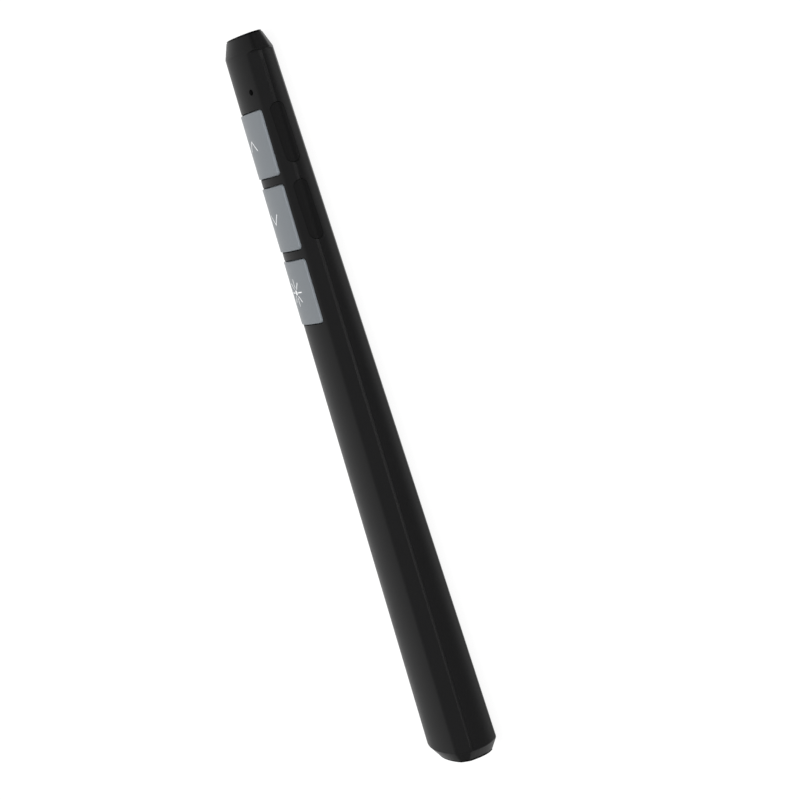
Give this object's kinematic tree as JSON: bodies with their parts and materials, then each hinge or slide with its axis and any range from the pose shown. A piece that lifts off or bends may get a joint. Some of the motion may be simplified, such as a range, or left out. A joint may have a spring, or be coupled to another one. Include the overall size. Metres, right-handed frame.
{
  "type": "wireless presenter",
  "caption": "Slim wedge-shaped wireless presenter with raised grey keys on its crowned face, side keys, a laser in the nose and a USB receiver stored in the tail.",
  "frame": {"origin": "centre of the bounding box at its bottom, where the back rests", "axes": "+Y along the pen to its nose, +Z out of the face with the keys, +X to the right of that face with the nose up"},
  "size_m": [0.0224, 0.15, 0.012],
  "materials": {
    "black_plastic": "satin",
    "gloss_black": "gloss",
    "grey_plastic": "satin",
    "dark_plastic": "matte",
    "board": "solder mask",
    "steel": "satin",
    "light_plastic": "clear",
    "brass": "turned",
    "lens": "polished",
    "foil": "satin",
    "foam": "matte"
  },
  "bodies": {
    "housing": {"front_cover": "black_plastic", "back_shell": "black_plastic", "nose_plate": "gloss_black", "tail_plate": "gloss_black", "switch_page_up": "steel", "switch_page_down": "steel", "switch_laser": "steel", "side_switch_front": "steel", "side_switch_rear": "steel", "main_board": "board", "radio_chip": "dark_plastic", "crystal_can": "steel", "antenna_chip": "light_plastic", "charger_chip": "dark_plastic", "indicator_lamp": "light_plastic", "light_pipe": "gloss_black", "laser_barrel": "brass", "laser_lens": "lens", "laser_diode": "brass", "laser_board": "board", "battery_cell": "foil", "battery_pad": "foam", "charging_port": "steel", "charging_tongue": "dark_plastic", "power_switch": "steel", "receiver_dock": "dark_plastic", "housing_screw_1": "steel", "housing_screw_2": "steel", "board_screw_1": "steel", "board_screw_2": "steel"},
    "key_page_up_body": {"key_page_up": "grey_plastic", "plunger_page_up": "dark_plastic"},
    "key_page_down_body": {"key_page_down": "grey_plastic", "plunger_page_down": "dark_plastic"},
    "key_laser_body": {"key_laser": "grey_plastic", "plunger_laser": "dark_plastic"},
    "side_key_front_body": {"side_key_front": "black_plastic", "side_plunger_front": "dark_plastic"},
    "side_key_rear_body": {"side_key_rear": "black_plastic", "side_plunger_rear": "dark_plastic"},
    "power_slider_body": {"power_slider": "dark_plastic", "power_lever": "dark_plastic"},
    "receiver": {"receiver_head": "black_plastic", "receiver_plug": "steel", "receiver_insert": "dark_plastic"}
  },
  "joints": [
    {"name": "page_up_press", "type": "slide", "parent": "housing", "child": "key_page_up_body", "axis": [0, 0, -1], "range_m": [0, 0.0004], "stiffness_N_per_m": 800},
    {"name": "page_down_press", "type": "slide", "parent": "housing", "child": "key_page_down_body", "axis": [0, 0, -1], "range_m": [0, 0.0004], "stiffness_N_per_m": 800},
    {"name": "laser_press", "type": "slide", "parent": "housing", "child": "key_laser_body", "axis": [0, 0, -1], "range_m": [0, 0.0004], "stiffness_N_per_m": 800},
    {"name": "side_front_press", "type": "slide", "parent": "housing", "child": "side_key_front_body", "axis": [-1, 0, 0], "range_m": [0, 0.0004], "stiffness_N_per_m": 800},
    {"name": "side_rear_press", "type": "slide", "parent": "housing", "child": "side_key_rear_body", "axis": [-1, 0, 0], "range_m": [0, 0.0004], "stiffness_N_per_m": 800},
    {"name": "power_slide", "type": "slide", "parent": "housing", "child": "power_slider_body", "axis": [0, 1, 0], "range_m": [0, 0.002]},
    {"name": "receiver_pull", "type": "slide", "parent": "housing", "child": "receiver", "axis": [0, -1, 0], "range_m": [0, 0.02]}
  ]
}
